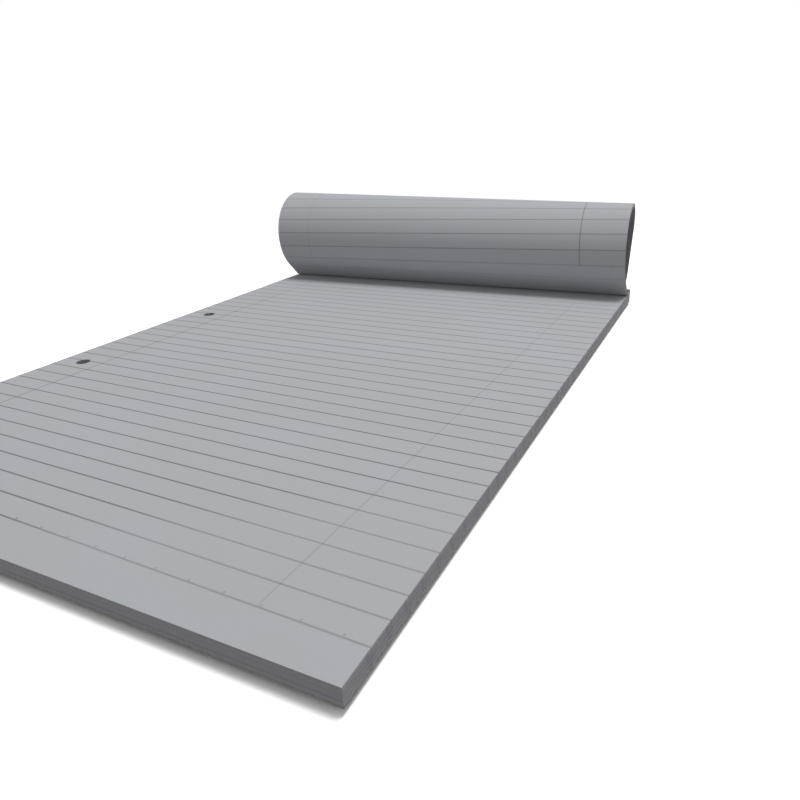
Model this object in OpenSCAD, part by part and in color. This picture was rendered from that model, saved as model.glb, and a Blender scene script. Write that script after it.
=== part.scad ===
// Ruled writing pad glued along its head, open with its cover and first sheets turned over the head.
// The turned leaves rise from the page in a loop, come down behind the head and tuck under the pad.
// X runs across the sheet, Y from its foot to its head, Z up. The pad lies on its tucked leaves.

/* [Paper] */
// Width of a sheet
sheet_w = 210; // [148:1:216]
// Length of a sheet, foot to head
sheet_l = 297; // [260:1:356]
// Thickness of the sheets that still lie flat
block_t = 4.2; // [1:0.1:12]
// Thickness of the sheets that are turned over
turned_t = 1; // [0.2:0.1:2]

/* [Cover and back] */
// Thickness of the card cover
cover_t = 0.3; // [0.2:0.05:0.6]
// Thickness of the greyboard back
board_t = 0.8; // [0.5:0.1:2]

/* [Binding] */
// Thickness of the glue along the head
glue_t = 0.3; // [0.1:0.05:0.6]
// Thickness of the binding tape
tape_t = 0.2; // [0.1:0.05:0.4]
// Reach of the tape down the cover and down the back
tape_leg = 7; // [4:0.5:12]

/* [Loop of turned leaves] */
// Radius of the crease beside the tape
crease_r = 3; // [2:0.5:5]
// Angle at which the leaves rise from the page
lead_angle = 45; // [35:1:60]
// Straight stretch between the crease and the loop
lead_l = 10; // [5:1:14]
// Radius of the loop's front and crown
front_r = 24; // [21:1:30]
// Radius of the loop's shoulder, behind the head
shoulder_r = 17; // [14:1:22]
// Gap between the tape and where the leaves run flat under the pad
tuck_gap = 0.5; // [0.2:0.1:3]

/* [Filing holes] */
// Diameter of a filing hole
hole_d = 6; // [5:0.5:7]
// Distance between the two filing holes
hole_pitch = 80; // [70:1:90]
// Distance from the sheet's left edge to the holes
hole_inset = 12; // [9:0.5:15]

/* [Hidden] */
$fn = 96;

// How far a cutter reaches past what it cuts
cut = 1;
// Turn of one step round a bend
step_angle = 3;

// Heights: the cover meets the turned sheets at tail_z under the pad and at root_z on the page
tail_z = turned_t;
board_z = tail_z + cover_t + tape_t;
block_z = board_z + board_t;
page_z = block_z + block_t;
root_z = page_z + turned_t;
bound_z = root_z + cover_t;

// Side view of the line where the cover meets the turned sheets
crown_y = sheet_l - tape_leg + (front_r - crease_r) * sin(lead_angle) - lead_l * cos(lead_angle);
front_z = root_z + crease_r + (front_r - crease_r) * cos(lead_angle) + lead_l * sin(lead_angle);
wall_y = crown_y + shoulder_r;
tuck_y = sheet_l + glue_t + tape_t + tuck_gap;
under_r = wall_y - tuck_y;
wall_l = front_z + front_r - shoulder_r - under_r - tail_z;

// That line from the head onwards, each stretch as [straight length, radius, turn to the right]
PATH = [
    [tape_leg, 0, 0],
    [0, crease_r, lead_angle],
    [lead_l, 0, 0],
    [0, front_r, 180 - lead_angle],
    [0, shoulder_r, 90],
    [wall_l, 0, 0],
    [0, under_r, 90]
];
// Where it starts: [y, z, heading]
HEAD = [sheet_l, root_z, 180];

// Filing holes, counted from the head or from the foot
HOLES = [(sheet_l - hole_pitch) / 2, (sheet_l + hole_pitch) / 2];

// Foot to the back of the loop
overall_l = wall_y + turned_t;

// Pose reached from pose p along one stretch
function after(p, stretch) =
    let (turned = p[2] - stretch[2])
    [
        p[0] + stretch[0] * cos(p[2]) + stretch[1] * (sin(p[2]) - sin(turned)),
        p[1] + stretch[0] * sin(p[2]) + stretch[1] * (cos(turned) - cos(p[2])),
        turned
    ];

// Pose at the start of stretch i; the one after the last is where the tucked tail starts
function pose(i) = i == 0 ? HEAD : after(pose(i - 1), PATH[i - 1]);

// Length of stretch i, and of all before it, in a layer that lies off outside the line
function run(i, off) = PATH[i][0] + (PATH[i][1] + off) * PATH[i][2] * PI / 180;
function run_before(i, off) = i == 0 ? 0 : run_before(i - 1, off) + run(i - 1, off);

// Part of stretch i that a layer has covered after length s of it
function part_way(i, s, off) =
    i == len(PATH) || PATH[i][2] == 0
    ? [s, 0, 0]
    : [0, PATH[i][1], s / (PATH[i][1] + off) * 180 / PI];

// Pose at length s from the head, measured along a layer
function spot(s, off, i = 0) =
    i == len(PATH) || s < run(i, off)
    ? after(pose(i), part_way(i, s, off))
    : spot(s - run(i, off), off, i + 1);

// Poses along the whole line: one at the start of each stretch and one at each step round a bend
BENDS = [for (i = [0 : len(PATH) - 1])
    let (steps = max(1, ceil(PATH[i][2] / step_angle)))
    for (k = [0 : steps - 1])
        after(pose(i), [PATH[i][0] * k / steps, PATH[i][1], PATH[i][2] * k / steps])];

// Tucked end: an outer leaf has gone further round the loop, so its edge stops shorter
function tail_end(off) = after(pose(len(PATH)), [sheet_l - run_before(len(PATH), off), 0, 0]);

// Points of one side of a layer, from the head to the tucked end
function outside(p, off) = [p[0] - off * sin(p[2]), p[1] + off * cos(p[2])];
function side(off) =
    [for (p = concat(BENDS, [pose(len(PATH)), tail_end(off)])) outside(p, off)];
function reversed(list) = [for (i = [len(list) - 1 : -1 : 0]) list[i]];

// Puts the part's origin under the middle of its length
module centred() {
    translate([0, -overall_l / 2, 0]) children();
}

// Stands a side view up, drawn with Y to the right and Z up, so that it spans the sheet's width
module across_sheet() {
    translate([-sheet_w / 2, 0, 0]) rotate([90, 0, 90]) children();
}

// Moves to a pose, with the heading to the right and the outside of the loop up
module at(p) {
    translate([p[0], p[1], 0]) rotate([0, 0, p[2]]) children();
}

// Leaves between two offsets from the line, bent along it, with their filing holes
module bent_leaves(inner, outer) {
    middle = (inner + outer) / 2;
    across_sheet()
        difference() {
            linear_extrude(sheet_w)
                polygon(concat(side(inner), reversed(side(outer))));
            for (s = HOLES)
                at(spot(s, middle))
                    translate([0, inner - cut, hole_inset])
                        rotate([-90, 0, 0])
                            cylinder(d = hole_d, h = outer - inner + 2 * cut);
        }
}

// Flat leaves of a full sheet's outline, with their filing holes
module flat_leaves(z, t) {
    difference() {
        translate([-sheet_w / 2, 0, z]) cube([sheet_w, sheet_l, t]);
        for (y = HOLES)
            translate([hole_inset - sheet_w / 2, y, z - cut])
                cylinder(d = hole_d, h = t + 2 * cut);
    }
}

module backing_board() {
    color("darkgray") centred() flat_leaves(board_z, board_t);
}

module page_block() {
    color("whitesmoke") centred() flat_leaves(block_z, block_t);
}

module turned_sheets() {
    color("white") centred() bent_leaves(0, turned_t);
}

module cover() {
    color("gainsboro") centred() bent_leaves(-cover_t, 0);
}

module head_glue() {
    color("ivory")
        centred()
            translate([-sheet_w / 2, sheet_l, board_z])
                cube([sheet_w, glue_t, bound_z - board_z]);
}

// Channel round the head: down the cover, over the glue and down the back
module binding_tape() {
    reach = tape_leg + glue_t;
    bound_t = bound_z - board_z;
    color("black")
        centred()
            across_sheet()
                translate([sheet_l - tape_leg, board_z, 0])
                    difference() {
                        translate([0, -tape_t, 0])
                            cube([reach + tape_t, bound_t + 2 * tape_t, sheet_w]);
                        translate([-cut, 0, -cut])
                            cube([reach + cut, bound_t, sheet_w + 2 * cut]);
                    }
}

backing_board();
page_block();
turned_sheets();
cover();
head_glue();
binding_tape();
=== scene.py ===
# Looks of a ruled writing pad that lies open, its cover and first sheets looped over the head.
# Lengths are in metres in the part's frame: X across the sheet, Y from its foot to its head, Z up.
import cmath
import math
import random

import bpy
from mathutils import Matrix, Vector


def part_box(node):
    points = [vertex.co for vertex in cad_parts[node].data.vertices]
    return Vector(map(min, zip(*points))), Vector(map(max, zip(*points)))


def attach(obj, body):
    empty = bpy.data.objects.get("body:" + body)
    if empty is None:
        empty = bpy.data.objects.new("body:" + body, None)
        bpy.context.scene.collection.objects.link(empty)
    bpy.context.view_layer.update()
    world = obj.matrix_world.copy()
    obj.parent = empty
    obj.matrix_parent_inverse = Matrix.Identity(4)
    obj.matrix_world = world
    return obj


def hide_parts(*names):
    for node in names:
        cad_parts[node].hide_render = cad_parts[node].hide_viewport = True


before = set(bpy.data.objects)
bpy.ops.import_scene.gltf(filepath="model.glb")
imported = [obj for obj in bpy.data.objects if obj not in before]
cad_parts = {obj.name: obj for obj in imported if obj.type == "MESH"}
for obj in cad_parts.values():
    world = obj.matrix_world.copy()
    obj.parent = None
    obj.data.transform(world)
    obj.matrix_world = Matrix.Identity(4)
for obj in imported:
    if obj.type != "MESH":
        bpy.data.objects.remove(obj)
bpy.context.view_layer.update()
MM = 0.001
Y_AXIS = 1
Z_AXIS = 2
RIGHT_ANGLE = math.pi / 2

# Sizes read from the frame
page_low, page_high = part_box("page_block")
_, loop_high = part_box("turned_sheets")
cover_low, cover_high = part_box("cover")
tape_low, tape_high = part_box("binding_tape")
SHEET_W = page_high.x - page_low.x
SHEET_L = page_high.y - page_low.y
FOOT_Y = page_low.y
HEAD_Y = page_high.y
BLOCK_T = page_high.z - page_low.z
TURNED_T = loop_high.z - cover_high.z
COVER_T = tape_low.z - cover_low.z

# Sheets: their spacing, their own thickness, the cover's, and how far a sheet slips out of line
PITCH = 0.1 * MM
SHEET_T = 0.094 * MM
COVER_CARD_T = 0.96 * COVER_T
SLIP = 0.1 * MM
# Faces along and across a leaf that is to be bent
LEAF_STEPS = 495
LEAF_BANDS = 4
SMOOTH_ANGLE = math.radians(30)
# A face is a cut edge if its normal reaches less than this along the sheet's thin axis
EDGE_COSINE = 0.5

# Filing holes, counted from the head or from the foot
HOLE_R = 3 * MM
HOLE_INSET = 12 * MM
HOLE_GAP = 80 * MM
HOLES = ((SHEET_L - HOLE_GAP) / 2, (SHEET_L + HOLE_GAP) / 2)
HOLE_SIDES = 48
CUTTER_L = 20 * MM

# Loop of turned leaves, measured at its left edge
TAPE_LEG = HEAD_Y - tape_low.y
CREASE_R = 3 * MM
LEAD_ANGLE = math.radians(45)
LEAD_L = 10 * MM
FRONT_R = 24 * MM
SHOULDER_R = 17 * MM
TUCK_GAP = 0.5 * MM
TUCK_Y = tape_high.y + TUCK_GAP
ROOT_Z = page_high.z + TURNED_T
TAIL_Z = cover_low.z
# Size of the loop at its right edge, as a share of that
TAPER = 0.9
# The leaves are tucked askew: how far they end up to the left, and the run that takes
DRIFT = 6.5 * MM
DRIFT_RUN = 190 * MM

# Print, in millimetres across the sheet from its middle and up the sheet from its foot
FIRST_RULE = 12.4
RULE_GAP = 8
RULES = 34
TOP_RULE = FIRST_RULE + RULE_GAP * (RULES - 1)
TICKED_RULE = TOP_RULE - RULE_GAP
RULE_W = 0.52
TICK_GAP = 10
TICK_X = 8.6
TICK_L = 1.1
MARGIN_W = 0.4
INK_SOFT = 0.2
# Both sides' print drops by this much per millimetre to the right, and the reverse sits lower
FRONT_SKEW = 0.018
BACK_SKEW = 0.021
BACK_SHIFT = 0.7
# Margins: place across the sheet at its foot, and lean to the right per millimetre up the sheet
FRONT_MARGIN = (-83, 0)
BACK_MARGIN = (77.6, 0.018)

# Strength of the print, and how much of it is lost at the head and in a corner
PAGE_INK = 0.78
LEAF_INK = 0.44
TICK_INK = 0.7
MARGIN_STRENGTH = 0.9
SHOW_THROUGH = 0.3
HEAD_FADE = 0.6
CORNER_FADE = 0.5
# It fades towards the foot's right corner, as y less x times the slant falls between these two
FADE_SLANT = 0.6
FADE_FROM = 22
FADE_TO = -4

# Ends of the rules on the cut edges: slant, scatter, how far out one starts and is full, and strength
END_SLANT = 0.25
END_SCATTER = 0.4
END_START = 0.9
END_FULL = 0.2
END_INK = 0.25
# How much the tint of a cut edge differs from sheet to sheet
SHEET_TINT = 0.35

# Thread of the binding tape, in millimetres
THREAD = 0.45

random.seed(7)


# Modelling helpers

def deselect():
    bpy.ops.object.select_all(action="DESELECT")


def select(*pieces):
    deselect()
    for piece in pieces:
        piece.select_set(True)
    bpy.context.view_layer.objects.active = pieces[0]


def settle(piece):
    select(piece)
    bpy.ops.object.transform_apply(location=True, rotation=True, scale=True)


def modify(piece, kind, **settings):
    select(piece)
    modifier = piece.modifiers.new(kind.lower(), kind)
    for name, value in settings.items():
        setattr(modifier, name, value)
    bpy.ops.object.modifier_apply(modifier=modifier.name)


def copy_of(piece):
    select(piece)
    bpy.ops.object.duplicate(linked=False)
    return bpy.context.view_layer.objects.active


def named(piece, name):
    piece.name = name
    piece.data.name = name
    return piece


def joined(pieces, name):
    select(*pieces)
    bpy.ops.object.join()
    return named(pieces[0], name)


def smooth(piece):
    select(piece)
    bpy.ops.object.shade_smooth_by_angle(angle=SMOOTH_ANGLE)


def punch(piece, spots, turn):
    """Punches the filing holes, given the middle of each and the turn of the punch."""
    for spot in spots:
        deselect()
        bpy.ops.mesh.primitive_cylinder_add(
            vertices=HOLE_SIDES, radius=HOLE_R, depth=CUTTER_L, location=spot, rotation=turn)
        cutter = bpy.context.active_object
        modify(piece, "BOOLEAN", object=cutter, operation="DIFFERENCE", solver="EXACT")
        bpy.data.objects.remove(cutter)


def give_finishes(piece, finishes, thin_axis):
    """Gives a sheet its two finishes: the first on its sides, the second on its cut edges."""
    for finish in finishes:
        piece.data.materials.append(finish)
    for face in piece.data.polygons:
        face.material_index = int(abs(face.normal[thin_axis]) < EDGE_COSINE)


# Flat sheets

def flat_sheet(finishes):
    deselect()
    middle_y = (FOOT_Y + HEAD_Y) / 2
    bpy.ops.mesh.primitive_cube_add(
        size=1, location=(0, middle_y, page_low.z + PITCH / 2), scale=(SHEET_W, SHEET_L, SHEET_T))
    sheet = bpy.context.active_object
    settle(sheet)
    hole_x = HOLE_INSET - SHEET_W / 2
    punch(sheet, [(hole_x, FOOT_Y + hole, page_low.z) for hole in HOLES], (0, 0, 0))
    give_finishes(sheet, finishes, Z_AXIS)
    return sheet


def page_stack(finishes):
    first = flat_sheet(finishes)
    sheets = [first]
    for number in range(1, round(BLOCK_T / PITCH)):
        sheet = copy_of(first)
        slip = (random.uniform(-SLIP, 0), random.uniform(0, SLIP), number * PITCH)
        bpy.ops.transform.translate(value=slip)
        settle(sheet)
        sheets.append(sheet)
    return joined(sheets, "page_stack")


# Bent leaves

def loop_of(size):
    """Side view of the line where the cover meets the sheets, head first, in a loop of that size.

    Each stretch is (straight length, radius, turn to the right).
    """
    crest = FRONT_R * size - CREASE_R
    lead = LEAD_L * size
    crown_y = HEAD_Y - TAPE_LEG + crest * math.sin(LEAD_ANGLE) - lead * math.cos(LEAD_ANGLE)
    front_z = ROOT_Z + CREASE_R + crest * math.cos(LEAD_ANGLE) + lead * math.sin(LEAD_ANGLE)
    under_r = crown_y + SHOULDER_R * size - TUCK_Y
    wall_l = front_z + (FRONT_R - SHOULDER_R) * size - under_r - TAIL_Z
    return (
        (TAPE_LEG, CREASE_R, LEAD_ANGLE),
        (lead, FRONT_R * size, math.pi - LEAD_ANGLE),
        (0, SHOULDER_R * size, RIGHT_ANGLE),
        (wall_l, under_r, RIGHT_ANGLE),
    )


def spot_on_loop(size, off, run):
    """Place and heading, as y + z i, at that run from the head on a leaf that lies off outside."""
    heading = complex(-1, 0)
    spot = complex(HEAD_Y, ROOT_Z) + off * 1j * heading
    for straight, radius, turn in loop_of(size):
        ahead = min(straight, run)
        spot += ahead * heading
        run -= ahead
        bent = min(turn, run / (radius + off))
        turned = heading * cmath.rect(1, -bent)
        spot += (radius + off) * 1j * (turned - heading)
        heading = turned
        run -= bent * (radius + off)
    return spot + run * heading, heading


def drift(run):
    """How far to the left a leaf has come at that run from the head."""
    eased = min(1, run / DRIFT_RUN)
    return DRIFT * eased ** 2 * (3 - 2 * eased)


def flat_leaf(thickness, finishes):
    """A punched leaf laid out along X from its head, on edge, with its flat layout as its UV map."""
    deselect()
    bpy.ops.mesh.primitive_grid_add(
        x_subdivisions=LEAF_STEPS, y_subdivisions=LEAF_BANDS, size=1,
        location=(SHEET_L / 2, 0, 0), rotation=(RIGHT_ANGLE, 0, 0))
    leaf = bpy.context.active_object
    leaf.scale = (SHEET_L, SHEET_W, 1)
    settle(leaf)
    modify(leaf, "SOLIDIFY", thickness=thickness, offset=0)
    hole_z = HOLE_INSET - SHEET_W / 2
    punch(leaf, [(hole, 0, hole_z) for hole in HOLES], (RIGHT_ANGLE, 0, 0))
    give_finishes(leaf, finishes, Y_AXIS)
    return leaf


def bend(leaf, off):
    """Lays a flat leaf along the loop, which narrows to the right and drifts to the left."""
    for vertex in leaf.data.vertices:
        run, lift, across = vertex.co
        size = 1 + (TAPER - 1) * (across / SHEET_W + 0.5)
        spot, heading = spot_on_loop(size, off, run)
        spot += lift * 1j * heading
        vertex.co = (across - drift(run), spot.real, spot.imag)


def turned_leaves(finishes):
    first = flat_leaf(SHEET_T, finishes)
    leaves = []
    for number in range(round(TURNED_T / PITCH)):
        leaf = copy_of(first)
        bpy.ops.transform.translate(value=(0, 0, random.uniform(-SLIP, SLIP)))
        settle(leaf)
        bend(leaf, (number + 0.5) * PITCH)
        leaves.append(leaf)
    bpy.data.objects.remove(first)
    stack = joined(leaves, "turned_leaves")
    smooth(stack)
    return stack


def cover_card(finishes):
    card = flat_leaf(COVER_CARD_T, finishes)
    bend(card, -COVER_T / 2)
    smooth(card)
    return named(card, "cover_card")


# Shader maths

# Colour sockets of a Mix node, by number because other sockets share their names
MIX_FACTOR = 0
MIX_START = 6
MIX_END = 7
MIX_RESULT = 2


class Level:
    """A number socket; arithmetic on it adds Math nodes."""

    def __init__(self, finish, socket):
        self.finish = finish
        self.socket = socket

    def __add__(self, other):
        return self.finish.math("ADD", self, other)

    __radd__ = __add__

    def __sub__(self, other):
        return self.finish.math("SUBTRACT", self, other)

    def __rsub__(self, other):
        return self.finish.math("SUBTRACT", other, self)

    def __mul__(self, other):
        return self.finish.math("MULTIPLY", self, other)

    __rmul__ = __mul__

    def __truediv__(self, other):
        return self.finish.math("DIVIDE", self, other)

    def __rtruediv__(self, other):
        return self.finish.math("DIVIDE", other, self)

    def __gt__(self, other):
        return self.finish.math("GREATER_THAN", self, other)

    def __lt__(self, other):
        return self.finish.math("LESS_THAN", self, other)

    def __abs__(self):
        return self.finish.math("ABSOLUTE", self)

    def __or__(self, other):
        """The greater of the two."""
        return self.finish.math("MAXIMUM", self, other)

    __ror__ = __or__

    def to_nearest(self, first, gap):
        """Distance to the nearest of evenly spaced places."""
        return self.finish.math("PINGPONG", self - first, gap / 2)

    def ramp(self, start, end):
        """Goes smoothly from 0 at start to 1 at end."""
        return self.finish.output("ShaderNodeMapRange", {"interpolation_type": "SMOOTHSTEP"}, {
            "Value": self, "From Min": start, "From Max": end})

    def inside(self, low, high):
        return (self > low) * (self < high)


class Finish:
    """A node tree and the one way that nodes are added to it."""

    def __init__(self, owner):
        owner.use_nodes = True
        self.owner = owner
        self.tree = owner.node_tree

    def node(self, kind, settings=None, sockets=None):
        made = self.tree.nodes.new(kind)
        for name, value in (settings or {}).items():
            setattr(made, name, value)
        for name, value in (sockets or {}).items():
            self.feed(made.inputs[name], value)
        return made

    def feed(self, socket, value):
        if isinstance(value, Level):
            value = value.socket
        if isinstance(value, bpy.types.NodeSocket):
            self.tree.links.new(value, socket)
        else:
            socket.default_value = value

    def output(self, kind, settings, sockets, name=0):
        return Level(self, self.node(kind, settings, sockets).outputs[name])

    def math(self, operation, *values):
        return self.output("ShaderNodeMath", {"operation": operation}, dict(enumerate(values)))

    def mix(self, factor, start, end):
        """Mixes two colours."""
        return self.node("ShaderNodeMix", {"data_type": "RGBA"}, {
            MIX_FACTOR: factor, MIX_START: start, MIX_END: end}).outputs[MIX_RESULT]

    def mix_shaders(self, factor, start, end):
        return self.node("ShaderNodeMixShader", {}, {
            0: factor, 1: start.outputs[0], 2: end.outputs[0]})

    def noise(self, place, scale, detail=2.0, roughness=0.5):
        return self.output("ShaderNodeTexNoise", {}, {
            "Vector": place, "Scale": scale, "Detail": detail, "Roughness": roughness})

    def parts(self, vector):
        split = self.node("ShaderNodeSeparateXYZ", {}, {"Vector": vector})
        return [Level(self, socket) for socket in split.outputs]

    def place(self):
        """Object coordinates, as a vector."""
        return self.node("ShaderNodeTexCoord").outputs["Object"]

    def surface(self, **sockets):
        shader = self.tree.nodes["Principled BSDF"]
        for name, value in sockets.items():
            self.feed(shader.inputs[name.replace("_", " ")], value)

    def bump(self, height, distance, strength):
        return self.node("ShaderNodeBump", {}, {
            "Height": height, "Distance": distance, "Strength": strength}).outputs["Normal"]


def new_finish(name):
    return Finish(bpy.data.materials.new(name))


def shade(red, green, blue):
    """A colour as a screen shows it, 0 to 255, made linear."""
    def linear(part):
        part /= 255
        return part / 12.92 if part < 0.04045 else ((part + 0.055) / 1.055) ** 2.4
    return (linear(red), linear(green), linear(blue), 1)


def grey(level):
    return (level, level, level, 1)


# Colours

PAPER = shade(186, 189, 194)
PAPER_WARM = shade(187, 188, 193)
PAPER_FIBRE = shade(120, 122, 128)
# Cut edges: darker and bluer than the sheets' faces, painted shade for the faces turned to the side
# and the foot
SHADED_PAPER_EDGE = shade(174, 173, 179)
SHADED_PAPER_EDGE_DARK = shade(160, 158, 164)
INK = shade(84, 84, 90)
MARGIN_INK = shade(132, 126, 132)
# Cover card: a grey in place of its white, painted shade for the inside of the loop
SHADED_CARD = shade(160, 159, 166)
SHADED_CARD_PALE = shade(166, 165, 171)
PULP = shade(150, 148, 148)
PULP_PALE = shade(167, 165, 165)
FLECK_DARK = shade(132, 130, 130)
FLECK_PALE = shade(180, 178, 178)
CLOTH = shade(20, 20, 22)
CLOTH_WORN = shade(46, 46, 49)
GLUE = shade(214, 208, 186)
GLUE_PALE = shade(228, 224, 208)


# Finishes

def stroke(distance, width):
    """1 inside a printed line of that width, with a soft edge."""
    return distance.ramp(width / 2 + INK_SOFT, width / 2 - INK_SOFT)


def ruled_part(y):
    return y.inside(FIRST_RULE - RULE_GAP / 2, TOP_RULE + RULE_GAP / 2)


def rules(y):
    return stroke(y.to_nearest(FIRST_RULE, RULE_GAP), RULE_W) * ruled_part(y)


def ticks(x, y):
    at_foot = y.inside(FIRST_RULE, FIRST_RULE + TICK_L)
    at_head = y.inside(TICKED_RULE - TICK_L, TICKED_RULE)
    return stroke(x.to_nearest(TICK_X, TICK_GAP), RULE_W) * (at_foot | at_head)


def margin(x, y, start, lean):
    return stroke(abs(x - start - lean * y), MARGIN_W) * y.inside(FIRST_RULE, TICKED_RULE)


def paper(name, layout, own_margin, other_margin, ink):
    """Uncoated writing paper with its print; layout gives x and y on the sheet in millimetres."""
    finish = new_finish(name)
    x, y = layout(finish)
    place = finish.place()
    cloud = finish.noise(place, scale=22.0)
    fibre = finish.noise(place, scale=1400.0, detail=3.0, roughness=0.6)
    colour = finish.mix(cloud.ramp(0.35, 0.65), PAPER, PAPER_WARM)
    colour = finish.mix(margin(x, y, *other_margin) * SHOW_THROUGH, colour, MARGIN_INK)
    colour = finish.mix(margin(x, y, *own_margin) * MARGIN_STRENGTH, colour, MARGIN_INK)
    head = y.ramp(TICKED_RULE - RULE_GAP, TOP_RULE)
    corner = (y - FADE_SLANT * x).ramp(FADE_FROM, FADE_TO)
    patchy = ink * (0.85 + 0.3 * fibre) * (1 - HEAD_FADE * head) * (1 - CORNER_FADE * corner)
    colour = finish.mix((rules(y) | TICK_INK * ticks(x, y)) * patchy, colour, INK)
    colour = finish.mix(0.06 * fibre, colour, PAPER_FIBRE)
    finish.surface(
        Base_Color=colour, Roughness=0.78 + 0.12 * fibre, Specular_IOR_Level=0.3,
        Normal=finish.bump(fibre, distance=0.02 * MM, strength=0.35))
    return finish.owner


def on_page(finish):
    across, along, _ = finish.parts(finish.place())
    x = across / MM
    return x, (along - FOOT_Y) / MM + FRONT_SKEW * x


def on_leaf(finish):
    flat = finish.node("ShaderNodeUVMap", {"uv_map": "UVMap"}).outputs["UV"]
    along, across, _ = finish.parts(flat)
    x = (across - 0.5) * (SHEET_W / MM)
    return x, (1 - along) * (SHEET_L / MM) + BACK_SHIFT + BACK_SKEW * x


def cut_edge(name, layout):
    """Trimmed edges of the sheets, with the ends of the rules showing on them; their darker tone is
    painted shade.
    """
    finish = new_finish(name)
    _, y = layout(finish)
    _, _, z = finish.parts(finish.place())
    sheet = finish.output("ShaderNodeTexWhiteNoise", {"noise_dimensions": "1D"}, {
        "W": finish.math("FLOOR", z / PITCH)}, "Value")
    slanted = y + END_SLANT * z / MM + END_SCATTER * sheet
    rule_end = slanted.to_nearest(FIRST_RULE, RULE_GAP).ramp(END_START, END_FULL) * ruled_part(y)
    # The edges' darker base tone is painted shade; the tint from sheet to sheet is their own
    colour = finish.mix(SHEET_TINT * sheet, SHADED_PAPER_EDGE, SHADED_PAPER_EDGE_DARK)
    colour = finish.mix(END_INK * rule_end, colour, INK)
    finish.surface(Base_Color=colour, Roughness=0.9)
    return finish.owner


def shaded_coated_card():
    """White coated cover card with a slight sheen; its grey colour is painted shade for the inside of
    the loop.
    """
    finish = new_finish("cover_card")
    place = finish.place()
    mottle = finish.noise(place, scale=160.0, detail=3.0)
    peel = finish.noise(place, scale=900.0)
    # The card's grey is painted shade for the inside of the loop; the mottle is its own
    finish.surface(
        Base_Color=finish.mix(mottle.ramp(0.3, 0.7), SHADED_CARD, SHADED_CARD_PALE),
        Roughness=0.34 + 0.14 * mottle,
        Normal=finish.bump(peel, distance=0.01 * MM, strength=0.3))
    return finish.owner


def greyboard():
    """Recycled board: grey pulp with darker and paler flecks."""
    finish = new_finish("greyboard")
    place = finish.place()
    pulp = finish.noise(place, scale=420.0, detail=4.0, roughness=0.65)
    fleck = finish.noise(place, scale=950.0, detail=1.0)
    colour = finish.mix(pulp.ramp(0.3, 0.7), PULP, PULP_PALE)
    colour = finish.mix(fleck.ramp(0.62, 0.7), colour, FLECK_DARK)
    colour = finish.mix(fleck.ramp(0.36, 0.3), colour, FLECK_PALE)
    finish.surface(
        Base_Color=colour, Roughness=0.86 + 0.1 * pulp,
        Normal=finish.bump(pulp, distance=0.05 * MM, strength=0.5))
    return finish.owner


def linen_tape():
    """Black book cloth with a fine plain weave."""
    finish = new_finish("linen_tape")
    place = finish.place()
    x, y, z = finish.parts(place)
    warp = (x / MM).to_nearest(0, THREAD) / (THREAD / 2)
    weft = ((y + z) / MM).to_nearest(0, THREAD) / (THREAD / 2)
    weave = warp * weft
    worn = finish.noise(place, scale=300.0)
    finish.surface(
        Base_Color=finish.mix(weave * (0.5 + 0.5 * worn), CLOTH, CLOTH_WORN),
        Roughness=0.5 + 0.25 * weave,
        Normal=finish.bump(weave, distance=0.05 * MM, strength=0.6))
    return finish.owner


def padding_glue():
    """Flexible glue, brushed on along the head."""
    finish = new_finish("padding_glue")
    brush = finish.noise(finish.place(), scale=350.0, detail=3.0)
    finish.surface(
        Base_Color=finish.mix(brush, GLUE, GLUE_PALE), Roughness=0.35 + 0.2 * brush,
        Normal=finish.bump(brush, distance=0.1 * MM, strength=0.4))
    return finish.owner


# Pieces on the frame

def dress(node, finish):
    """Gives a CAD node that keeps its shape a new finish."""
    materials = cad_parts[node].data.materials
    materials.clear()
    materials.append(finish)


def stand_for(piece, node):
    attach(piece, "root")
    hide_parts(node)


page_finishes = (
    paper("ruled_paper", on_page, FRONT_MARGIN, BACK_MARGIN, PAGE_INK),
    cut_edge("page_edges", on_page))
leaf_finishes = (
    paper("turned_paper", on_leaf, BACK_MARGIN, FRONT_MARGIN, LEAF_INK),
    cut_edge("leaf_edges", on_leaf))
shaded_cover_finish = shaded_coated_card()

stand_for(page_stack(page_finishes), "page_block")
stand_for(turned_leaves(leaf_finishes), "turned_sheets")
stand_for(cover_card((shaded_cover_finish, shaded_cover_finish)), "cover")
dress("backing_board", greyboard())
dress("binding_tape", linen_tape())
dress("head_glue", padding_glue())


# Floor, light and camera

FLOOR_SIZE = 8
FLOOR_FADE = (0.28, 0.6)
FLOOR_TONE = 1.6
FLOOR_BOUNCE = 0.4
SKY_LEVEL = 0.335
KEY_POWER = 8.3
KEY_SIZE = 0.4
KEY_SPOT = (0.2, 0.15, 1.24)
CAMERA_SPOT = (156.753 * MM, -229.1 * MM, 96.38 * MM)
CAMERA_TURN = (67.309, 2.56, 26.796)
CAMERA_LENS = 29.897
CAMERA_NEAR = 10 * MM
SENSOR_W = 36


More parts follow.
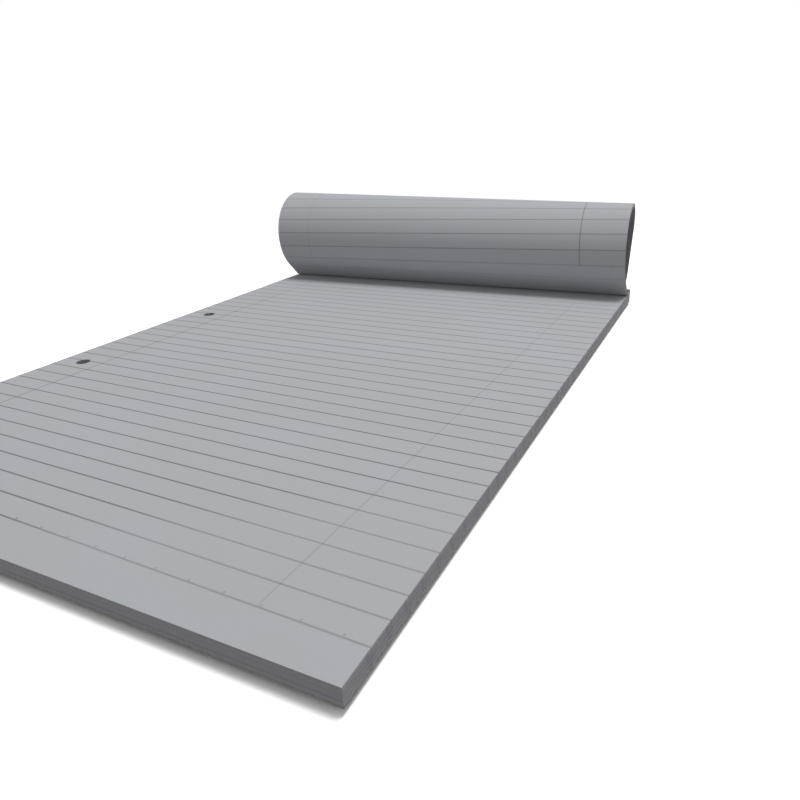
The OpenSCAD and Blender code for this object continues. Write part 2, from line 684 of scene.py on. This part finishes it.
def seen(finish):
    """1 for what the camera sees, straight, mirrored or through something clear."""
    path = finish.node("ShaderNodeLightPath")
    straight, mirrored, through = [
        Level(finish, path.outputs[f"Is {kind} Ray"])
        for kind in ("Camera", "Glossy", "Transmission")]
    return straight | mirrored | through


def floor():
    """A floor that keeps the pad's shadow, is white further away and throws little light back."""
    deselect()
    bpy.ops.mesh.primitive_plane_add(size=FLOOR_SIZE)
    plane = bpy.context.active_object
    plane.name = "floor"
    finish = new_finish("floor")
    away = finish.output(
        "ShaderNodeVectorMath", {"operation": "LENGTH"}, {0: finish.place()}, "Value")
    lit = finish.node("ShaderNodeBsdfDiffuse", {}, {"Color": grey(FLOOR_TONE)})
    white = finish.node("ShaderNodeEmission", {}, {"Strength": 1.0})
    dim = finish.node("ShaderNodeBsdfDiffuse", {}, {"Color": grey(FLOOR_BOUNCE)})
    shown = finish.mix_shaders(away.ramp(*FLOOR_FADE), lit, white)
    whole = finish.mix_shaders(seen(finish), dim, shown)
    finish.feed(finish.tree.nodes["Material Output"].inputs["Surface"], whole.outputs[0])
    plane.data.materials.append(finish.owner)


def sky():
    world = bpy.data.worlds.new("sky")
    bpy.context.scene.world = world
    finish = Finish(world)
    background = finish.tree.nodes["Background"]
    finish.feed(background.inputs["Color"], grey(1))
    finish.feed(background.inputs["Strength"], SKY_LEVEL + (1 - SKY_LEVEL) * seen(finish))


def key_light():
    lamp = bpy.data.lights.new("key", "AREA")
    lamp.energy = KEY_POWER
    lamp.size = KEY_SIZE
    key = bpy.data.objects.new("key", lamp)
    key.location = KEY_SPOT
    key.rotation_euler = key.location.to_track_quat("Z", "Y").to_euler()
    bpy.context.scene.collection.objects.link(key)


def camera():
    view = bpy.data.cameras.new("camera")
    view.sensor_width = SENSOR_W
    view.lens = CAMERA_LENS
    view.clip_start = CAMERA_NEAR
    eye = bpy.data.objects.new("camera", view)
    eye.location = CAMERA_SPOT
    eye.rotation_euler = [math.radians(turn) for turn in CAMERA_TURN]
    bpy.context.scene.collection.objects.link(eye)
    bpy.context.scene.camera = eye


floor()
sky()
key_light()
camera()
bpy.context.scene.view_settings.view_transform = "Standard"
